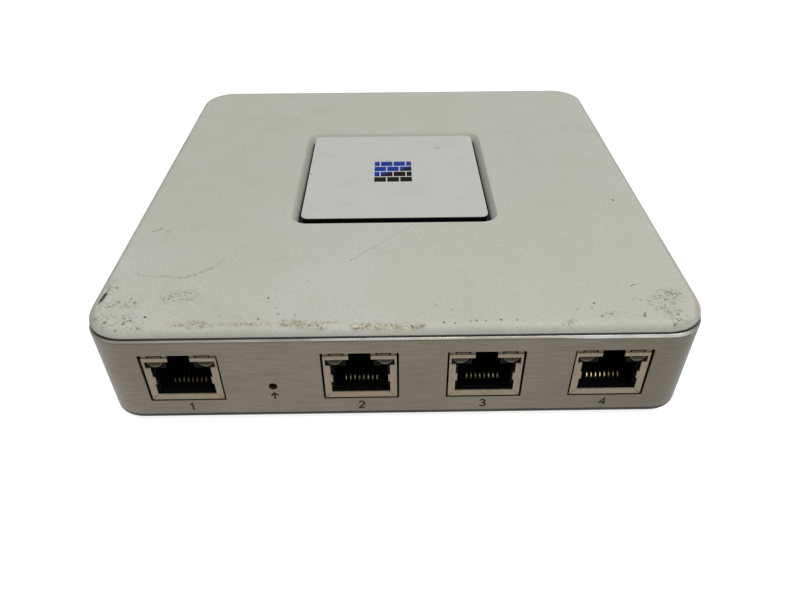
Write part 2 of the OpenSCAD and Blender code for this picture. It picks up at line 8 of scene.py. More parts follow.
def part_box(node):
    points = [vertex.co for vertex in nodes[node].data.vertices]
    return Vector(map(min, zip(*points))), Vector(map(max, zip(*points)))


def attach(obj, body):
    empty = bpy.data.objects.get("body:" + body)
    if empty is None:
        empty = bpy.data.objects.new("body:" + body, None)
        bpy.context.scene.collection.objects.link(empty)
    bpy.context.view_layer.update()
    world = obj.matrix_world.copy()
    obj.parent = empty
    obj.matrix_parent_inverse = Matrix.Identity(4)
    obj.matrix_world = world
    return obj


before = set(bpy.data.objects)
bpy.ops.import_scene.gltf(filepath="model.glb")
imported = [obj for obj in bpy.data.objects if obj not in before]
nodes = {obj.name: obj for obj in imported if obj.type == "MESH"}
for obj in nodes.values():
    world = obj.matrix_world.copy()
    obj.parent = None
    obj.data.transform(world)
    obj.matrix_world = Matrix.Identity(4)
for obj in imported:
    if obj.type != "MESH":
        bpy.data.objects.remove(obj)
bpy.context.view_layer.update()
MM = 0.001
SOCKETS = (1, 2, 3, 4)

# ---------------------------------------------------------------- camera
TURN, TIP, LEAN = -0.0096113, 0.6649097, 0.0065218   # radians
EYE = (-0.194, -173.005, 118.521)                    # millimetres
FOCAL_PIXELS, PICTURE_WIDTH, SENSOR = 665.013, 800, 36.0


def photo_camera():
    """The photograph's camera: in front of the sockets, looking down at the cover."""
    ct, st, cp, sp = math.cos(TURN), math.sin(TURN), math.cos(TIP), math.sin(TIP)
    level = Vector((ct, st, 0))
    ahead = Vector((-st * cp, ct * cp, -sp))
    over = Vector((-st * sp, ct * sp, cp))
    right = level * math.cos(LEAN) - over * math.sin(LEAN)
    up = level * math.sin(LEAN) + over * math.cos(LEAN)
    data = bpy.data.cameras.new("camera")
    data.sensor_width = SENSOR
    data.lens = FOCAL_PIXELS / PICTURE_WIDTH * SENSOR
    data.clip_start, data.clip_end = 0.01, 10
    cam = bpy.data.objects.new("camera", data)
    turned = Matrix([[right[i], up[i], -ahead[i]] for i in range(3)]).to_4x4()
    cam.matrix_world = Matrix.Translation(Vector(EYE) * MM) @ turned
    bpy.context.scene.collection.objects.link(cam)
    bpy.context.scene.camera = cam


photo_camera()


# ---------------------------------------------------------------- shader sums
def operators(operation):
    """A Python operator and its reflected form, each adding one Math node."""
    def plain(amount, other):
        return amount.sum(operation, amount, other)

    def reflected(amount, other):
        return amount.sum(operation, other, amount)

    return plain, reflected


class Amount:
    """A value that varies over a surface: its operators add Math nodes."""

    def __init__(self, shader, socket):
        self.shader, self.socket = shader, socket

    def sum(self, operation, *values, **settings):
        return self.shader.add("ShaderNodeMath", {"operation": operation, **settings}, *values)

    __add__, __radd__ = operators("ADD")
    __sub__, __rsub__ = operators("SUBTRACT")
    __mul__, __rmul__ = operators("MULTIPLY")
    __truediv__, __rtruediv__ = operators("DIVIDE")
    __pow__, __rpow__ = operators("POWER")

    def __abs__(self):
        return self.sum("ABSOLUTE", self)

    def low(self, other):
        """The smaller of two amounts."""
        return self.sum("MINIMUM", self, other)

    def high(self, other):
        """The larger of two amounts."""
        return self.sum("MAXIMUM", self, other)

    def floor(self):
        """The whole number below."""
        return self.sum("FLOOR", self)

    def past_whole(self):
        """How far past a whole number."""
        return self.sum("FRACT", self)

    def held(self):
        """Kept between 0 and 1."""
        return self.sum("ADD", self, 0.0, use_clamp=True)

    def ramp(self, start, end, low=0.0, high=1.0):
        """Smooth step from low at start to high at end."""
        return self.shader.add("ShaderNodeMapRange", {"interpolation_type": "SMOOTHSTEP"},
                               self, start, end, low, high)


class Shader:
    """The nodes of a material or of the world."""

    def __init__(self, owner):
        owner.use_nodes = True
        self.tree = owner.node_tree
        self.tree.nodes.clear()

    def feed(self, socket, value):
        if isinstance(value, Amount):
            self.tree.links.new(value.socket, socket)
        elif isinstance(value, (tuple, list, Vector)) and len(value) == 3 and socket.type == "RGBA":
            socket.default_value = (*value, 1.0)
        else:
            socket.default_value = value

    def add(self, kind, settings=None, *values, out=0, **named):
        """One node with its settings, then its sockets in order or by name. None leaves one as it is."""
        node = self.tree.nodes.new(kind)
        for key, value in (settings or {}).items():
            setattr(node, key, value)
        for socket, value in zip(node.inputs, values):
            if value is not None:
                self.feed(socket, value)
        for key, value in named.items():
            self.feed(node.inputs[key.replace("_", " ").title()], value)
        return Amount(self, node.outputs[out])

    def show(self, surface, kind="ShaderNodeOutputMaterial"):
        """Sends the finished surface to the output."""
        self.tree.links.new(surface.socket, self.tree.nodes.new(kind).inputs["Surface"])


class Finish(Shader):
    """One procedural material with a Principled skin. Distances in its sums are millimetres."""

    def __init__(self, name, **skin):
        self.material = bpy.data.materials.new(name)
        super().__init__(self.material)
        surface = self.add("ShaderNodeBsdfPrincipled")
        self.show(surface)
        self.skin = surface.socket.node
        self._place = None
        for key, value in skin.items():
            self.set(key.replace("_", " ").title(), value)

    def set(self, name, value):
        self.feed(self.skin.inputs[name.replace("Ior", "IOR")], value)

    @property
    def place(self):
        """Where a point is on the object, in millimetres."""
        if self._place is None:
            metres = self.add("ShaderNodeTexCoord", out="Object")
            self._place = self.add("ShaderNodeVectorMath", {"operation": "MULTIPLY"},
                                   metres, (1000.0, 1000.0, 1000.0))
        return self._place

    def axes(self, wanted="XYZ"):
        """The place as one amount for each wanted axis."""
        split = self.add("ShaderNodeSeparateXYZ", None, self.place).socket.node
        return [Amount(self, split.outputs[axis]) for axis in wanted]

    def stretched(self, x, y, z, shift=(0.0, 0.0, 0.0)):
        return self.add("ShaderNodeVectorMath", {"operation": "MULTIPLY_ADD"}, self.place, (x, y, z), shift)

    def noise(self, scale, detail=3.0, rough=0.5, vector=None, distortion=0.0, colour=False):
        return self.add("ShaderNodeTexNoise", None, vector=vector or self.place, scale=scale, detail=detail,
                        roughness=rough, distortion=distortion, out="Color" if colour else 0)

    def cells(self, scale, vector=None):
        return self.add("ShaderNodeTexVoronoi", None, vector=vector or self.place, scale=scale)

    def gap(self, a, b):
        """Distance between two points."""
        return self.add("ShaderNodeVectorMath", {"operation": "DISTANCE"}, a, b, out="Value")

    def blend(self, mask, first, second):
        """Colour first where mask is 0 and second where it is 1."""
        other_kinds = [None] * 5
        return self.add("ShaderNodeMix", {"data_type": "RGBA"}, mask, *other_kinds, first, second, out=2)

    def bump(self, height, distance_mm, strength=1.0):
        made = self.add("ShaderNodeBump", None, height=height, distance=distance_mm * MM, strength=strength)
        self.set("Normal", made)

    def stroke(self, a, b, width, edge):
        """1 on a line from a to b, falling to 0 over edge millimetres outside width."""
        along = Vector(b) - Vector(a)
        off = self.add("ShaderNodeVectorMath", {"operation": "SUBTRACT"}, self.place, tuple(a))
        part = self.add("ShaderNodeVectorMath", {"operation": "DOT_PRODUCT"}, off,
                        tuple(along / along.length_squared), out="Value").held()
        foot = self.add("ShaderNodeVectorMath", {"operation": "SCALE"}, tuple(along), scale=part)
        return self.gap(off, foot).ramp(width / 2 + edge, width / 2)

    def paint(self, *names):
        for name in names:
            mesh = nodes[name].data
            mesh.materials.clear()
            mesh.materials.append(self.material)


def srgb(*screen):
    """A colour as it looks on screen, 0 to 255, turned into the linear numbers that shaders use."""
    parts = [c / 255 for c in screen]
    return tuple(c / 12.92 if c <= 0.04045 else ((c + 0.055) / 1.055) ** 2.4 for c in parts)


# ---------------------------------------------------------------- cover: worn off-white plastic
COVER_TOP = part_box("top_cover")[1][2] / MM
PANEL_LOW, PANEL_HIGH = (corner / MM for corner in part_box("center_panel"))
PANEL_EDGE_X, PANEL_FRONT_Y = PANEL_HIGH[0], PANEL_LOW[1]
PANEL_MIDDLE_Y = (PANEL_LOW[1] + PANEL_HIGH[1]) / 2
RECESS_REACH_X = PANEL_EDGE_X + 3.0
RECESS_REACH_Y = (PANEL_HIGH[1] - PANEL_LOW[1]) / 2 + 2.9
MOAT_SHADE_TOP, SEAM_TOP = 27.2, 26.36


def scuffed_edge(f, base, x, y):
    """Dirt and chipped specks rubbed into the rounding over the sockets, most of it left of the middle."""
    chips = f.noise(2.3, 3.0, 0.75)
    crumbs = f.noise(1.1, 4.0, 0.75, distortion=0.5)
    patches = f.noise(0.16, 3.0, 0.65, vector=f.stretched(1.0, 2.2, 1.0))
    band = abs(y + 65.45).ramp(0.85, 0.1)
    along = (x.ramp(-52.0, -44.0) * x.ramp(-9.0, -16.0)).held()
    faint = band * along * patches.ramp(0.38, 0.58, 0.4, 1.0) * 0.8
    stained = f.stroke((-24.0, -65.2, 28.2), (-15.5, -65.9, 27.9), 0.6, 1.3)
    stained = stained.high(f.stroke((-43.5, -65.3, 28.2), (-41.0, -65.3, 28.2), 0.8, 1.2) * 0.9)
    stained = stained.high(f.stroke((-47.2, -65.4, 28.1), (-45.6, -65.4, 28.1), 0.4, 0.7) * 0.8)
    stained = stained.high(f.stroke((35.6, -66.0, 27.8), (37.6, -65.7, 28.0), 0.4, 0.8) * 0.9)
    chipped = f.stroke((-9.0, -66.15, 27.75), (5.5, -66.2, 27.7), 0.5, 1.0)
    worn = faint.high(stained).high(chipped).held()
    base = f.blend(worn * crumbs.ramp(0.36, 0.56) * 0.6, base, srgb(152, 142, 112))
    base = f.blend(worn * crumbs.ramp(0.53, 0.62) * 0.8, base, srgb(108, 93, 62))
    base = f.blend(worn * chips.ramp(0.56, 0.62) * 0.8, base, srgb(84, 72, 48))
    light = (chipped.high(faint * 0.6) * chips.ramp(0.4, 0.35)).held()
    return f.blend(light * 0.85, base, srgb(218, 214, 198))


# across, along, how far it reaches, how dark it is
SPECKS = [
    (-62.9, -52.3, 0.47, 0.62), (-58.5, -56.4, 0.34, 0.75), (-57.5, -57.5, 0.38, 0.62),
    (-61.2, -57.3, 0.34, 0.62), (-62.4, -59.0, 0.42, 0.44), (-57.9, -59.3, 0.34, 0.62),
    (-53.6, -62.8, 0.47, 1.0), (-57.9, -63.3, 0.42, 0.88), (-56.4, -64.0, 0.34, 0.62),
    (-61.6, -64.4, 0.42, 0.75), (-57.6, -65.0, 0.42, 0.75), (-59.0, -66.4, 0.42, 0.55),
    (-64.4, -62.9, 0.34, 0.62), (-62.2, -66.7, 0.38, 0.88), (-28.2, -56.7, 0.34, 0.94),
    (-29.3, -63.9, 0.42, 0.75), (-25.3, -62.3, 0.42, 0.5), (-26.0, -60.2, 0.34, 0.44),
    (-21.6, -62.7, 0.34, 0.5), (10.1, -65.6, 0.3, 1.0), (12.4, -65.8, 0.3, 0.75), (8.7, -59.9, 0.34, 0.56),
    (12.1, -61.7, 0.38, 0.5), (15.8, -65.4, 0.3, 0.62), (16.9, -65.3, 0.3, 0.75), (19.0, -65.3, 0.3, 0.88),
    (22.2, -65.1, 0.34, 0.94), (25.6, -65.3, 0.3, 0.62), (43.2, -59.9, 0.34, 0.94),
    (39.0, -61.9, 0.3, 0.62), (42.3, -61.6, 0.34, 0.62), (43.8, -64.4, 0.38, 0.75),
    (45.9, -63.7, 0.42, 0.62), (58.8, -66.6, 0.42, 0.75), (59.5, -65.5, 0.38, 0.7),
    (60.2, -64.2, 0.38, 0.81), (59.2, -15.2, 0.51, 0.88), (-37.6, -62.7, 0.3, 0.38),
    (-10.6, -42.4, 0.3, 0.62),
]
# a fine crumb of dirt fills these: from, to, width, soft edge, strength
DIRTY_PATCHES = [
    ((-63.0, -63.5), (-57.0, -63.8), 1.2, 2.8, 0.6), ((-62.0, -58.0), (-57.5, -57.5), 1.6, 2.8, 0.6),
    ((-50.5, -55.9), (-45.8, -55.4), 1.8, 2.2, 0.7), ((57.2, -60.6), (61.0, -57.4), 2.6, 2.6, 0.72),
    ((59.0, -62.0), (60.3, -65.0), 1.4, 2.2, 0.75), ((52.5, -59.2), (57.0, -59.0), 0.4, 1.2, 0.4),
    ((44.5, -63.8), (49.5, -63.1), 0.3, 0.9, 0.4), ((-56.0, -66.3), (-53.0, -66.3), 0.6, 1.0, 0.6),
    ((-64.9, -59.5), (-64.6, -50.0), 0.8, 2.0, 0.5),
]
# from, to, width, soft edge, strength
SINGLE_MARKS = [
    ((-60.6, -46.5), (-57.9, -47.8), 0.2, 0.5, 0.16), ((-57.9, -47.8), (-52.1, -48.1), 0.2, 0.6, 0.22),
    ((-52.1, -48.1), (-49.1, -48.7), 0.2, 0.6, 0.26), ((-49.1, -48.7), (-46.5, -47.6), 0.25, 0.6, 0.34),
    ((-46.5, -47.6), (-43.1, -44.9), 0.2, 0.6, 0.30), ((-43.1, -44.9), (-40.9, -41.4), 0.15, 0.5, 0.18),
    ((-61.2, -28.3), (-59.4, -27.2), 0.5, 0.5, 0.55), ((-57.9, -28.5), (-57.0, -28.9), 0.3, 0.5, 0.30),
    ((53.0, -53.9), (54.1, -53.2), 0.15, 0.3, 0.75), ((52.8, -64.6), (53.3, -63.6), 0.3, 0.3, 0.8),
    ((-10.5, -42.3), (-5.6, -37.2), 0.08, 0.28, 0.34), ((-5.6, -37.2), (4.6, -26.8), 0.08, 0.28, 0.26),
]


def cover_dirt(f, base, y, dust):
    """Pinholes, crumbs and scratches, each where the worn cover has it."""
    uneven = f.noise(2.4, 3.0, 0.75, colour=True)
    wobble = f.add("ShaderNodeVectorMath", {"operation": "MULTIPLY_ADD"}, uneven, (1.0, 1.0, 0.0),
                   f.stretched(1.0, 1.0, 0.0, (-0.5, -0.5, 0.0)))
    spots = None
    for px, py, reach, dark in SPECKS:
        spot = f.gap(wobble, (px, py, 0.0)).ramp(reach, reach * 0.6, 0.0, dark)
        spots = spot if spots is None else spots.high(spot)
    base = f.blend(spots, base, srgb(84, 77, 60))
    crumbs = f.noise(1.15, 3.0, 0.75, distortion=0.4)
    clumps = f.noise(0.42, 3.0, 0.7)
    dirty = None
    for a, b, width, edge, strength in DIRTY_PATCHES:
        patch = f.stroke((*a, COVER_TOP - 0.13), (*b, COVER_TOP - 0.13), width, edge) * strength
        dirty = patch if dirty is None else dirty.high(patch)
    base = f.blend(dirty * clumps.ramp(0.4, 0.62) * 0.32, base, srgb(148, 142, 120))
    base = f.blend(dirty * clumps.ramp(0.34, 0.46) * crumbs.ramp(0.53, 0.59), base, srgb(92, 85, 66))
    base = f.blend(dirty * crumbs.ramp(0.42, 0.36) * 0.35, base, srgb(208, 206, 194))
    breaks = dust.ramp(0.38, 0.56, 0.15, 1.0)
    for a, b, width, edge, strength in SINGLE_MARKS:
        line = f.stroke((*a, COVER_TOP), (*b, COVER_TOP), width, edge) * strength
        base = f.blend(line * breaks, base, srgb(96, 90, 74))
    everywhere = f.cells(0.22).ramp(0.07, 0.03) * f.noise(0.05, 2.0).ramp(0.44, 0.54)
    return f.blend(everywhere * y.ramp(-10.0, -45.0) * 0.55, base, srgb(118, 112, 96))


def cover_nick(f):
    """A short cut in the left edge, deepest in the middle."""
    deepest = f.stroke((-65.0, -57.1, 28.32), (-64.72, -54.5, 28.32), 0.6, 0.2)
    front_end = f.stroke((-65.3, -58.1, 28.29), (-65.0, -57.1, 28.32), 0.2, 0.2) * 0.75
    back_end = f.stroke((-64.72, -54.5, 28.32), (-64.5, -51.9, 28.32), 0.15, 0.25) * 0.45
    return deepest.high(front_end).high(back_end)


def cover_finish():
    f = Finish("worn_cover_plastic", roughness=0.5, specular_ior_level=0.4)
    x, y, z = f.axes()
    cloud = f.noise(0.02, 3.0, 0.6)
    smudge = f.noise(0.085, 4.0, 0.65, distortion=0.4)
    grain = f.noise(2.2, 2.0, 0.6)
    dust = f.noise(1.2, 3.0, 0.7)
    base = f.blend(cloud.ramp(0.35, 0.68), srgb(189, 190, 180), srgb(184, 184, 171))
    # painted shade: darker towards the back and the left
    base = f.blend(y.ramp(-70.0, 15.0) * 0.52, base, srgb(171, 170, 159))
    base = f.blend(x.ramp(15.0, -60.0) * y.ramp(-62.0, -20.0) * 0.2, base, srgb(160, 158, 140))
    base = f.blend(smudge.ramp(0.58, 0.76) * 0.22, base, srgb(164, 160, 143))
    base = f.blend(dust.ramp(0.52, 0.72) * 0.24, base, srgb(160, 158, 143))
    base = f.blend(grain.ramp(0.5, 0.68) * 0.28, base, srgb(158, 157, 144))
    base = f.blend(grain.ramp(0.46, 0.3) * 0.24, base, srgb(206, 207, 198))
    # painted shade: the side roundings darker and browner where smudged, the one over the sockets least
    painted_rounding_shade = z.ramp(COVER_TOP, 28.0) * abs(x).ramp(63.6, 65.4)
    base = f.blend(painted_rounding_shade * smudge.ramp(0.3, 0.6, 0.5, 0.75), base, srgb(146, 137, 119))
    base = f.blend(z.ramp(28.2, 26.7) * smudge.ramp(0.3, 0.6, 0.12, 0.26), base, srgb(150, 147, 131))
    base = scuffed_edge(f, base, x, y)
    base = cover_dirt(f, base, y, dust)
    nick = cover_nick(f)
    base = f.blend(nick, base, srgb(22, 20, 17))
    # painted shade: the recess darkens down to the moat round the panel, and the seam over the tray is
    # painted near black as its shadow
    within_y = abs(y - PANEL_MIDDLE_Y).ramp(RECESS_REACH_Y, RECESS_REACH_Y - 0.2)
    inside = (abs(x).ramp(RECESS_REACH_X, RECESS_REACH_X - 0.2) * within_y).held()
    painted_slope_shade = inside * z.ramp(28.3, 28.0)
    base = f.blend(painted_slope_shade * 0.12, base, srgb(150, 153, 144))
    painted_moat_shade = f.blend(y.ramp(5.0, -24.0), srgb(142, 146, 140), srgb(104, 108, 103))
    moat_shade_depth = z.ramp(MOAT_SHADE_TOP, MOAT_SHADE_TOP - 0.7) * y.ramp(31.0, 27.0, 0.6, 0.9)
    base = f.blend(inside * moat_shade_depth, base, painted_moat_shade)
    # painted shadow: the cover's skirt in the seam over the tray, near black
    base = f.blend(z.ramp(SEAM_TOP, SEAM_TOP - 0.18) * 0.97, base, srgb(16, 15, 14))
    f.set("Base Color", base)
    f.set("Roughness", smudge.ramp(0.3, 0.75, 0.42, 0.58))
    f.bump(grain * 0.6 + dust * 0.5 - nick * 3.0, 0.035, 0.45)
    return f


# ---------------------------------------------------------------- panel: white plastic with its sign
BRICK_LONG, BRICK_HIGH = 3.74, 3.25
BRICKS_FROM_X, BRICKS_FROM_Y = -5.9, -3.6
SIGN_X, SIGN_Y, SIGN_REACH_X, SIGN_REACH_Y = -0.29, 2.9, 5.44, 6.32


def brick_sign(x, y):
    """A small plain brick wall in two inks: 1 on the bricks, and 1 where the ink is blue."""
    up = (y - BRICKS_FROM_Y) / BRICK_HIGH
    along = (x - BRICKS_FROM_X) / BRICK_LONG + up.floor() * 0.5
    lane, rise = along.past_whole(), up.past_whole()
    brick = (abs(lane - 0.5).ramp(0.465, 0.44) * abs(rise - 0.5).ramp(0.445, 0.42)).held()
    within_y = abs(y - SIGN_Y).ramp(SIGN_REACH_Y, SIGN_REACH_Y - 0.08)
    field = (abs(x - SIGN_X).ramp(SIGN_REACH_X, SIGN_REACH_X - 0.08) * within_y).held()
    blue = (x * 0.55 - y).ramp(-2.7, -3.0)
    return brick * field, blue


def panel_finish():
    f = Finish("panel_plastic", roughness=0.42, specular_ior_level=0.03)
    x, y, z = f.axes()
    smudge = f.noise(0.12, 4.0, 0.65, distortion=0.3)
    dust = f.noise(1.4, 3.0, 0.7)
    base = f.blend(smudge.ramp(0.45, 0.75) * 0.6, srgb(192, 193, 188), srgb(186, 185, 177))
    base = f.blend(dust.ramp(0.6, 0.75) * 0.15, base, srgb(162, 160, 148))
    bricks, blue = brick_sign(x, y)
    ink = f.blend(blue, srgb(8, 8, 12), srgb(22, 52, 142))
    base = f.blend(bricks * dust.ramp(0.15, 0.35, 0.98, 1.0), base, ink)
    spot = f.gap(f.place, (13.4, 18.2, COVER_TOP))
    base = f.blend(abs(spot - 0.75).ramp(0.4, 0.1) * 0.35, base, srgb(120, 118, 106))
    chip = f.stroke((-25.0, 1.8, COVER_TOP - 0.13), (-23.8, 1.7, COVER_TOP), 0.25, 0.2)
    base = f.blend(chip * 0.7, base, srgb(90, 88, 80))
    front_rim = y.ramp(PANEL_FRONT_Y + 0.3, PANEL_FRONT_Y)
    rim = abs(x).ramp(PANEL_EDGE_X - 0.3, PANEL_EDGE_X).high(front_rim).held()
    base = f.blend(rim * 0.3, base, srgb(140, 140, 134))
    # painted shade on the panel's sides: grey at the sides and back, black at the front
    side = f.blend(y.ramp(-21.5, -22.6), srgb(124, 127, 121), srgb(8, 8, 8))
    base = f.blend(z.ramp(COVER_TOP - 0.03, COVER_TOP - 0.15) * 0.97, base, side)
    f.set("Base Color", base)
    f.set("Roughness", smudge.ramp(0.3, 0.75, 0.38, 0.5))
    f.bump(f.noise(2.8, 2.0, 0.6), 0.02, 0.3)
    return f


# ---------------------------------------------------------------- tray: brushed metal
LIP_LOW, LIP_HIGH = 24.86, 25.38
FOOT_BEND = 3.0


def tray_finish():
    f = Finish("brushed_tray", metallic=0.85, roughness=0.42)
    x, y, z = f.axes()
    fine = f.noise(1.0, 3.0, 0.7, vector=f.stretched(0.09, 0.09, 4.5))
    hair = f.noise(1.0, 2.0, 0.7, vector=f.stretched(0.35, 0.35, 11.0))
    grit = f.noise(3.4, 2.0, 0.7)
    cloud = f.noise(0.05, 2.0, 0.5)
    lines = fine * 0.5 + hair * 0.3 + grit * 0.2
    base = f.blend(lines.ramp(0.36, 0.64), srgb(105, 99, 87), srgb(127, 120, 107))
    base = f.blend(cloud.ramp(0.4, 0.7) * 0.35, base, srgb(107, 100, 88))
    # painted shade: the front wall darker towards the right, and both corners darker
    socket_wall = y.ramp(-54.0, -63.0)
    base = f.blend(x.ramp(15.0, 64.0) * socket_wall * 0.45, base, srgb(90, 84, 73))
    base = f.blend(x.ramp(60.0, 66.0) * 0.5, base, srgb(72, 67, 58))
    base = f.blend(x.ramp(-61.0, -66.5) * 0.3, base, srgb(80, 75, 66))
    pits = f.cells(0.3, vector=f.stretched(1.0, 1.0, 1.6)).ramp(0.07, 0.03) * cloud.ramp(0.4, 0.55)
    base = f.blend(pits * 0.5, base, srgb(70, 65, 56))
    # painted shade in a narrow dark line, then a painted highlight on the rolled lip, then a painted shadow
    # in the seam
    highlight_breakup = f.noise(0.055, 3.0, 0.6, vector=f.stretched(1.0, 1.0, 0.3))
    ends = (x.ramp(-64.0, -22.0, 0.3, 1.0) * abs(x).ramp(66.4, 60.0)).held()
    painted_under_lip_shade = (z.ramp(LIP_LOW - 0.5, LIP_LOW - 0.25) * z.ramp(LIP_LOW + 0.1, LIP_LOW - 0.1)).held()
    base = f.blend(painted_under_lip_shade * highlight_breakup.ramp(0.3, 0.6, 0.15, 0.5), base, srgb(70, 66, 57))
    # painted highlight along the rolled lip, broader and brighter towards the right
    broad = x.ramp(33.0, 42.0)
    highlight_streaks = highlight_breakup.ramp(0.34, 0.62, 0.4, 1.0).high(broad * highlight_breakup.ramp(0.3, 0.5, 0.6, 0.9))
    painted_lip_highlight = ((z + broad * 0.28).ramp(LIP_LOW, LIP_LOW + 0.2) * highlight_streaks * ends).held()
    base = f.blend(painted_lip_highlight, base, f.blend(broad, srgb(184, 181, 171), srgb(200, 199, 193)))
    # painted shadow: a near-black line in the seam under the cover
    base = f.blend(z.ramp(LIP_HIGH, LIP_HIGH + 0.12) * 0.95, base, srgb(22, 21, 19))
    # painted shadow: the foot bend near black
    base = f.blend(z.ramp(FOOT_BEND, FOOT_BEND - 0.4) * 0.9, base, srgb(18, 17, 16))
    f.set("Base Color", base)
    f.set("Roughness", lines.ramp(0.35, 0.65, 0.46, 0.36) - painted_lip_highlight * 0.12)
    # less metal shine in the painted shadows of the seam and the foot bend
    under_bend = z.ramp(FOOT_BEND - 0.7, FOOT_BEND - 0.25, 0.4, 1.0)
    f.set("Metallic", z.ramp(LIP_HIGH, LIP_HIGH + 0.12, 0.85, 0.1) * under_bend)
    f.bump(fine * 0.4 + hair * 0.4 + grit * 0.2, 0.02, 0.4)
    return f


def flat_finish(name, colour, dark, scale, rough, **skin):
    """A moulded or milled surface with a little mottling and fine grain."""
    f = Finish(name, **skin)
    mottle = f.noise(scale, 3.0, 0.6)
    f.set("Base Color", f.blend(mottle.ramp(0.35, 0.7), colour, dark))
    f.set("Roughness", mottle.ramp(0.3, 0.7, rough * 0.85, rough * 1.15))
    f.bump(f.noise(scale * 6, 2.0, 0.6), 0.02, 0.3)
    return f


# ---------------------------------------------------------------- sockets
def tinned_finish():
    """Plated sheet of the socket shields, dull and a little grainy, with painted shade: dark deeper in and
    under the top edge.
    """
    f = Finish("tinned_sheet", metallic=0.35, roughness=0.5)
    y, z = f.axes("YZ")
    grain = f.noise(3.2, 3.0, 0.75)
    cloud = f.noise(0.35, 3.0, 0.6)
    base = f.blend(grain.ramp(0.34, 0.66), srgb(135, 122, 103), srgb(168, 154, 132))
    base = f.blend(cloud.ramp(0.5, 0.72) * 0.4, base, srgb(128, 116, 98))
    # painted shade: darker under the wall's top edge and black deeper in
    base = f.blend(z.ramp(19.9, 20.02) * 0.55, base, srgb(84, 76, 62))
    base = f.blend(y.ramp(-66.62, -66.3) * 0.9, base, srgb(26, 24, 21))
    f.set("Base Color", base)
    f.set("Roughness", grain.ramp(0.3, 0.7, 0.42, 0.58))
    f.bump(grain * 0.7 + cloud * 0.3, 0.02, 0.4)
    return f


def insert_finish():
    """Black moulding inside a socket, with painted shade making it darker the deeper it goes."""
    f = Finish("black_insert", roughness=0.6, specular_ior_level=0.07)
    [y] = f.axes("Y")
    mottle = f.noise(1.2, 3.0, 0.6)
    base = f.blend(mottle.ramp(0.35, 0.7), srgb(7, 7, 8), srgb(11, 11, 12))
    # painted shade: darker the deeper in
    f.set("Base Color", f.blend(y.ramp(-66.5, -64.5), base, srgb(3, 3, 3)))
    f.set("Roughness", mottle.ramp(0.3, 0.7, 0.48, 0.62))
    f.bump(f.noise(6.0, 2.0, 0.6), 0.02, 0.3)
    return f


CONTACT_PITCH = 1.016
LENS_OFF_MIDDLE, LENS_UNDER_TOP = 5.6, 0.77


def nearest_middle(x, piece):
    """How far x is from the middle of the nearest socket's piece."""
    nearest = None
    for i in SOCKETS:
        low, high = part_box(f"jack_{i}_{piece}")
        own = abs(x - (low[0] + high[0]) / 2 / MM)
        nearest = own if nearest is None else nearest.low(own)
    return nearest


def contact_finish():
    """Gold plate, bright on the bends, with painted shade turning it black on the arms behind them and
    beside each wire's middle.
    """
    f = Finish("gold_plate", metallic=0.9, roughness=0.3, specular_ior_level=0.05)
    x, y = f.axes("XY")
    off_socket = nearest_middle(x, "contacts")
    lane = (off_socket / CONTACT_PITCH).past_whole()
    ridge = abs(lane - 0.5).ramp(0.15, 0.04)
    streak = f.noise(1.0, 2.0, 0.6, vector=f.stretched(3.0, 0.8, 0.8))
    base = f.blend(streak.ramp(0.35, 0.7), srgb(128, 117, 95), srgb(80, 73, 58))
    # painted shade: the first socket's contacts darker
    base = f.blend(x.ramp(-30.0, -40.0) * 0.6, base, srgb(48, 44, 36))
    # painted glint: the first contacts of the last socket painted bright gold
    shiny = (x.ramp(42.5, 43.0) * x.ramp(49.5, 46.0)).held()
    base = f.blend(shiny, base, srgb(255, 236, 170))
    # painted shade: black behind the bends and beside each wire's middle, with less shine
    behind = (y - ridge * 0.55 + shiny * 0.35).ramp(-63.5, -62.85)
    painted_depth_shade = behind.high(0.75 - ridge - shiny).held()
    base = f.blend(painted_depth_shade, base, srgb(3, 3, 3))
    f.set("Base Color", base)
    f.set("Roughness", streak.ramp(0.3, 0.7, 0.26, 0.36) + painted_depth_shade * 0.3)
    f.set("Metallic", 0.9 - painted_depth_shade * 0.9)
    return f


def lens_finish():
    """Cloudy grey light lenses, with painted shadow making them dark inside at the top, and paler round the
    lower rim.
    """
    f = Finish("cloudy_lens", roughness=0.28, specular_ior_level=0.1)
    x, z = f.axes("XZ")
    across = abs(nearest_middle(x, "lamps") - LENS_OFF_MIDDLE)
    rise = z - (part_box("jack_1_lamps")[1][2] / MM - LENS_UNDER_TOP)
    off_middle = (across * across + rise * rise) ** 0.5
    cloud = f.noise(0.9, 3.0, 0.6)
    grain = f.noise(4.0, 2.0, 0.6)
    base = f.blend(cloud.ramp(0.35, 0.7), srgb(116, 103, 84), srgb(88, 78, 62))
    base = f.blend(off_middle.ramp(1.2, 1.75) * 0.6, base, srgb(152, 139, 112))
    # painted shadow: dark inside the lens at the top
    base = f.blend(rise.ramp(-1.5, -0.75) * off_middle.ramp(1.8, 1.4) * 0.85, base, srgb(36, 35, 31))
    base = f.blend(grain.ramp(0.5, 0.7) * 0.3, base, srgb(128, 120, 104))
    f.set("Base Color", base)
    f.set("Roughness", cloud.ramp(0.3, 0.7, 0.22, 0.36))
    f.bump(grain, 0.01, 0.3)
    return f


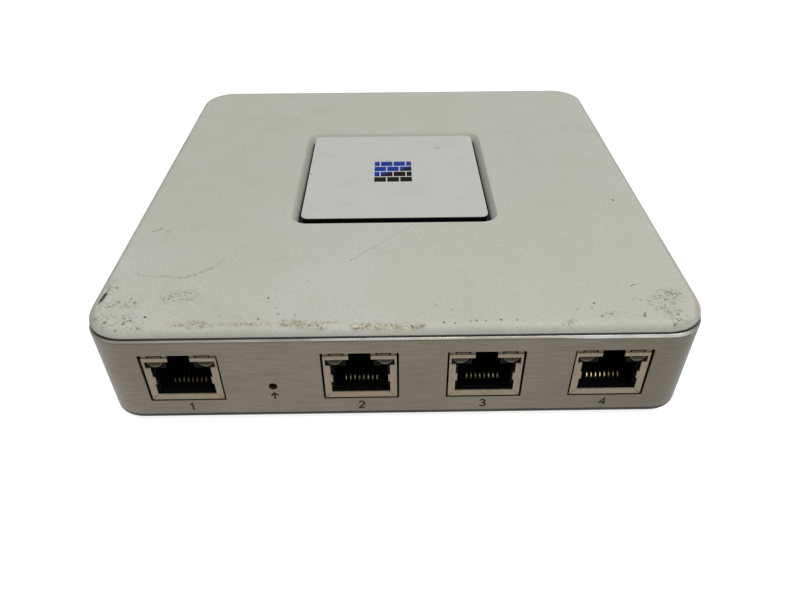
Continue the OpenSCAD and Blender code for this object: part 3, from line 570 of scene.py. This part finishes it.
# ---------------------------------------------------------------- inside and hidden pieces
def board_finish():
    """Green solder mask with paler copper runs under it."""
    f = Finish("board_mask", roughness=0.35)
    [y] = f.axes("Y")
    mottle = f.noise(0.4, 3.0, 0.6)
    runs = f.cells(0.16).ramp(0.5, 0.42)
    lane = (y * 0.9).past_whole()
    copper = (runs * abs(lane - 0.5).ramp(0.28, 0.22)).held()
    base = f.blend(mottle.ramp(0.35, 0.7), srgb(18, 74, 46), srgb(22, 86, 54))
    f.set("Base Color", f.blend(copper * 0.6, base, srgb(38, 112, 70)))
    f.set("Roughness", mottle.ramp(0.3, 0.7, 0.3, 0.42))
    f.bump(copper * 0.6 + f.noise(2.4, 2.0, 0.6) * 0.3, 0.03, 0.4)
    return f


def rubber_finish():
    """Foot rubber: fine pores, a paler rubbed face underneath."""
    f = Finish("foot_rubber", roughness=0.8)
    [z] = f.axes("Z")
    pores = f.noise(2.2, 3.0, 0.7)
    base = f.blend(pores.ramp(0.35, 0.7), srgb(32, 32, 32), srgb(44, 44, 43))
    f.set("Base Color", f.blend(z.ramp(0.25, 0.02) * pores.ramp(0.4, 0.6) * 0.7, base, srgb(84, 82, 78)))
    f.set("Roughness", pores.ramp(0.3, 0.7, 0.7, 0.9))
    f.bump(pores, 0.03, 0.5)
    return f


def milled_finish(name, colour, dark, rough):
    """Turned or pressed metal with fine tool lines."""
    f = Finish(name, metallic=1.0, roughness=rough)
    rings = f.noise(1.0, 2.0, 0.6, vector=f.stretched(1.2, 1.2, 9.0))
    f.set("Base Color", f.blend(rings.ramp(0.35, 0.68), colour, dark))
    f.set("Roughness", rings.ramp(0.3, 0.7, rough * 0.8, rough * 1.25))
    f.bump(rings, 0.01, 0.4)
    return f


def paint_everything():
    cover_finish().paint("top_cover")
    panel_finish().paint("center_panel")
    tray_finish().paint("body_shell")
    flat_finish("smoked_window", srgb(3, 3, 3), srgb(6, 6, 7), 0.5, 0.4,
                specular_ior_level=0.08).paint("status_light_guide")
    tinned, black, gold, lens = tinned_finish(), insert_finish(), contact_finish(), lens_finish()
    for i in SOCKETS:
        tinned.paint(f"jack_{i}_shield")
        black.paint(f"jack_{i}_insert")
        gold.paint(f"jack_{i}_contacts")
        lens.paint(f"jack_{i}_lamps")
    milled_finish("spring_steel", srgb(190, 190, 186), srgb(165, 165, 160), 0.3).paint(
        "usb_shell", "flash_drive_plug", "reset_dome", "power_jack_pin", "power_jack_spring", "crystals")
    flat_finish("black_moulding", srgb(17, 17, 18), srgb(25, 25, 26), 1.2, 0.5).paint(
        "reset_switch_body", "reset_plunger", "power_jack_housing", "flash_drive_case")
    flat_finish("chip_resin", srgb(38, 38, 40), srgb(48, 48, 50), 0.8, 0.55).paint(
        "magnetics_modules", "memory_chips", "ethernet_chips", "small_chips")
    board_finish().paint("main_board", "processor")
    milled_finish("brass_pillar", srgb(196, 168, 104), srgb(176, 148, 88), 0.32).paint("standoffs")
    flat_finish("clear_pipe", srgb(215, 220, 224), srgb(205, 210, 214), 0.6, 0.1,
                transmission_weight=0.8, ior=1.49).paint("light_pipe")
    flat_finish("led_case", srgb(228, 226, 214), srgb(214, 212, 200), 0.8, 0.4).paint("status_led")
    flat_finish("soft_pad", srgb(196, 190, 170), srgb(182, 176, 156), 0.8, 0.8).paint("thermal_pad")
    milled_finish("dark_fins", srgb(60, 61, 64), srgb(72, 73, 76), 0.4).paint("heatsink")
    flat_finish("pale_plastic", srgb(225, 220, 205), srgb(212, 206, 190), 0.8, 0.5).paint(
        "heatsink_pins", "usb_tongue")
    flat_finish("coil_grey", srgb(60, 60, 64), srgb(74, 74, 78), 0.8, 0.5).paint("inductors", "capacitors")
    milled_finish("screw_steel", srgb(120, 120, 122), srgb(96, 96, 98), 0.36).paint(
        "board_screws", "cover_screws")
    rubber_finish().paint("rubber_feet")


paint_everything()


# ---------------------------------------------------------------- printed figures on the front wall
WALL_FRONT, WALL_KNEE, WALL_SLOPE = -67.38, 24.87, 0.018
INK_SUNK, INK_PROUD = 0.03, -0.012
FIGURES = {
    "1": [[(0.12, 0.76), (0.36, 1.0), (0.36, 0.0)]],
    "2": [[(0.02, 0.76), (0.08, 0.91), (0.22, 1.0), (0.40, 1.0), (0.54, 0.9), (0.58, 0.74), (0.52, 0.58),
           (0.02, 0.0), (0.62, 0.0)]],
    "3": [[(0.03, 0.86), (0.15, 0.98), (0.34, 1.0), (0.50, 0.92), (0.55, 0.76), (0.47, 0.60), (0.24, 0.53)],
          [(0.24, 0.53), (0.50, 0.46), (0.59, 0.28), (0.52, 0.10), (0.34, 0.0), (0.14, 0.02), (0.02, 0.15)]],
    "4": [[(0.46, 0.0), (0.46, 1.0), (0.0, 0.30), (0.64, 0.30)]],
}
FIGURE_PLACES = (-47.2, -8.05, 19.7, 47.5)
FIGURE_FOOT, FIGURE_HEIGHT, FIGURE_STROKE = 3.95, 2.1, 0.42
PRESS_HERE_X, PRESS_HERE_FOOT, PRESS_HERE_HEIGHT, PRESS_HERE_STROKE = -27.75, 7.2, 2.0, 0.4
PRESS_HERE = [[(0.4, 0.0), (0.4, 0.95)], [(0.0, 0.52), (0.4, 1.0), (0.8, 0.52)]]


def wall_at(z):
    """The front wall's face at height z."""
    return WALL_FRONT + WALL_SLOPE * (WALL_KNEE - z)


def ribbon(bm, points, width):
    """A thin printed stroke through (x, z) points, a hair proud of the wall."""
    rows = []
    for i, p in enumerate(points):
        before = points[max(i - 1, 0)]
        after = points[min(i + 1, len(points) - 1)]
        first = Vector((p[0] - before[0], p[1] - before[1]))
        second = Vector((after[0] - p[0], after[1] - p[1]))
        first = (first if first.length else second).normalized()
        second = (second if second.length else first).normalized()
        middle = first + second
        middle = middle.normalized() if middle.length > 0.2 else first
        side = Vector((-middle.y, middle.x))
        reach = width / 2 / max(0.45, abs(side.dot(Vector((-first.y, first.x)))))
        row = []
        for sign, lift in ((1, INK_PROUD), (-1, INK_PROUD), (-1, INK_SUNK), (1, INK_SUNK)):
            x, z = p[0] + side.x * reach * sign, p[1] + side.y * reach * sign
            row.append(bm.verts.new(Vector((x, wall_at(z) + lift, z)) * MM))
        rows.append(row)
    for a, b in zip(rows, rows[1:]):
        for k in range(4):
            bm.faces.new((a[k], a[(k + 1) % 4], b[(k + 1) % 4], b[k]))
    bm.faces.new(rows[0][::-1])
    bm.faces.new(rows[-1])


def printed_sign(name, strokes, middle, foot, height, width, ink):
    """Strokes in units of the height, centred on middle with their feet at foot."""
    wide = max(p[0] for s in strokes for p in s) + min(p[0] for s in strokes for p in s)
    bm = bmesh.new()
    for stroke in strokes:
        ribbon(bm, [(middle + (u - wide / 2) * height, foot + v * height) for u, v in stroke], width)
    bmesh.ops.recalc_face_normals(bm, faces=bm.faces)
    mesh = bpy.data.meshes.new(name)
    bm.to_mesh(mesh)
    bm.free()
    mesh.materials.append(ink)
    sign = bpy.data.objects.new(name, mesh)
    bpy.context.scene.collection.objects.link(sign)
    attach(sign, "chassis")


def print_signs():
    f = Finish("printed_ink", roughness=0.5, specular_ior_level=0.1)
    worn = f.noise(2.4, 3.0, 0.7)
    f.set("Base Color", f.blend(worn.ramp(0.5, 0.72), srgb(20, 19, 17), srgb(46, 43, 38)))
    f.set("Roughness", worn.ramp(0.3, 0.7, 0.42, 0.6))
    for i, x in zip(SOCKETS, FIGURE_PLACES):
        printed_sign(f"socket_figure_{i}", FIGURES[str(i)], x, FIGURE_FOOT, FIGURE_HEIGHT,
                     FIGURE_STROKE, f.material)
    printed_sign("reset_sign", PRESS_HERE, PRESS_HERE_X, PRESS_HERE_FOOT, PRESS_HERE_HEIGHT,
                 PRESS_HERE_STROKE, f.material)


print_signs()


# ---------------------------------------------------------------- studio
BOUNCED, SHOWN = 0.45, 1.0
FLOOR_GREY, FLOOR_GLOW = 0.42, 0.84
FLOOR_SIZE, FLOOR_DROP = 3.0, 0.02 * MM
LIGHT_PLACE, LIGHT_AIM, LIGHT_SIZE, LIGHT_WATTS = (0.2, -0.28, 0.86), (0, 0, 0.02), 0.8, 5.4


def shown_rays(shader):
    """1 for rays from the camera, through clear pieces or off shiny ones, 0 for bounced light."""
    camera, clear, shiny = [shader.add("ShaderNodeLightPath", out=f"Is {ray} Ray")
                            for ray in ("Camera", "Transmission", "Glossy")]
    return camera.high(clear).high(shiny)


def white_world():
    world = bpy.data.worlds.new("studio")
    bpy.context.scene.world = world
    sky = Shader(world)
    strength = shown_rays(sky) * (SHOWN - BOUNCED) + BOUNCED
    sky.show(sky.add("ShaderNodeBackground", None, (1, 1, 1), strength), "ShaderNodeOutputWorld")


def white_floor():
    """A plane that shows white and still takes the object's shadow."""
    bpy.ops.mesh.primitive_plane_add(size=FLOOR_SIZE, location=(0, 0, -FLOOR_DROP))
    floor = bpy.context.object
    floor.name = "floor"
    material = bpy.data.materials.new("floor")
    paper = Shader(material)
    matt = paper.add("ShaderNodeBsdfDiffuse", None, (FLOOR_GREY, FLOOR_GREY, FLOOR_GREY))
    glow = paper.add("ShaderNodeEmission", strength=shown_rays(paper) * FLOOR_GLOW)
    paper.show(paper.add("ShaderNodeAddShader", None, matt, glow))
    floor.data.materials.append(material)


def soft_light():
    data = bpy.data.lights.new("key_light", "AREA")
    data.shape = "SQUARE"
    data.size = LIGHT_SIZE
    data.energy = LIGHT_WATTS
    lamp = bpy.data.objects.new("key_light", data)
    lamp.location = LIGHT_PLACE
    lamp.rotation_euler = (Vector(LIGHT_AIM) - Vector(LIGHT_PLACE)).to_track_quat("-Z", "Y").to_euler()
    bpy.context.scene.collection.objects.link(lamp)


white_world()
white_floor()
soft_light()
bpy.context.scene.view_settings.view_transform = "Standard"
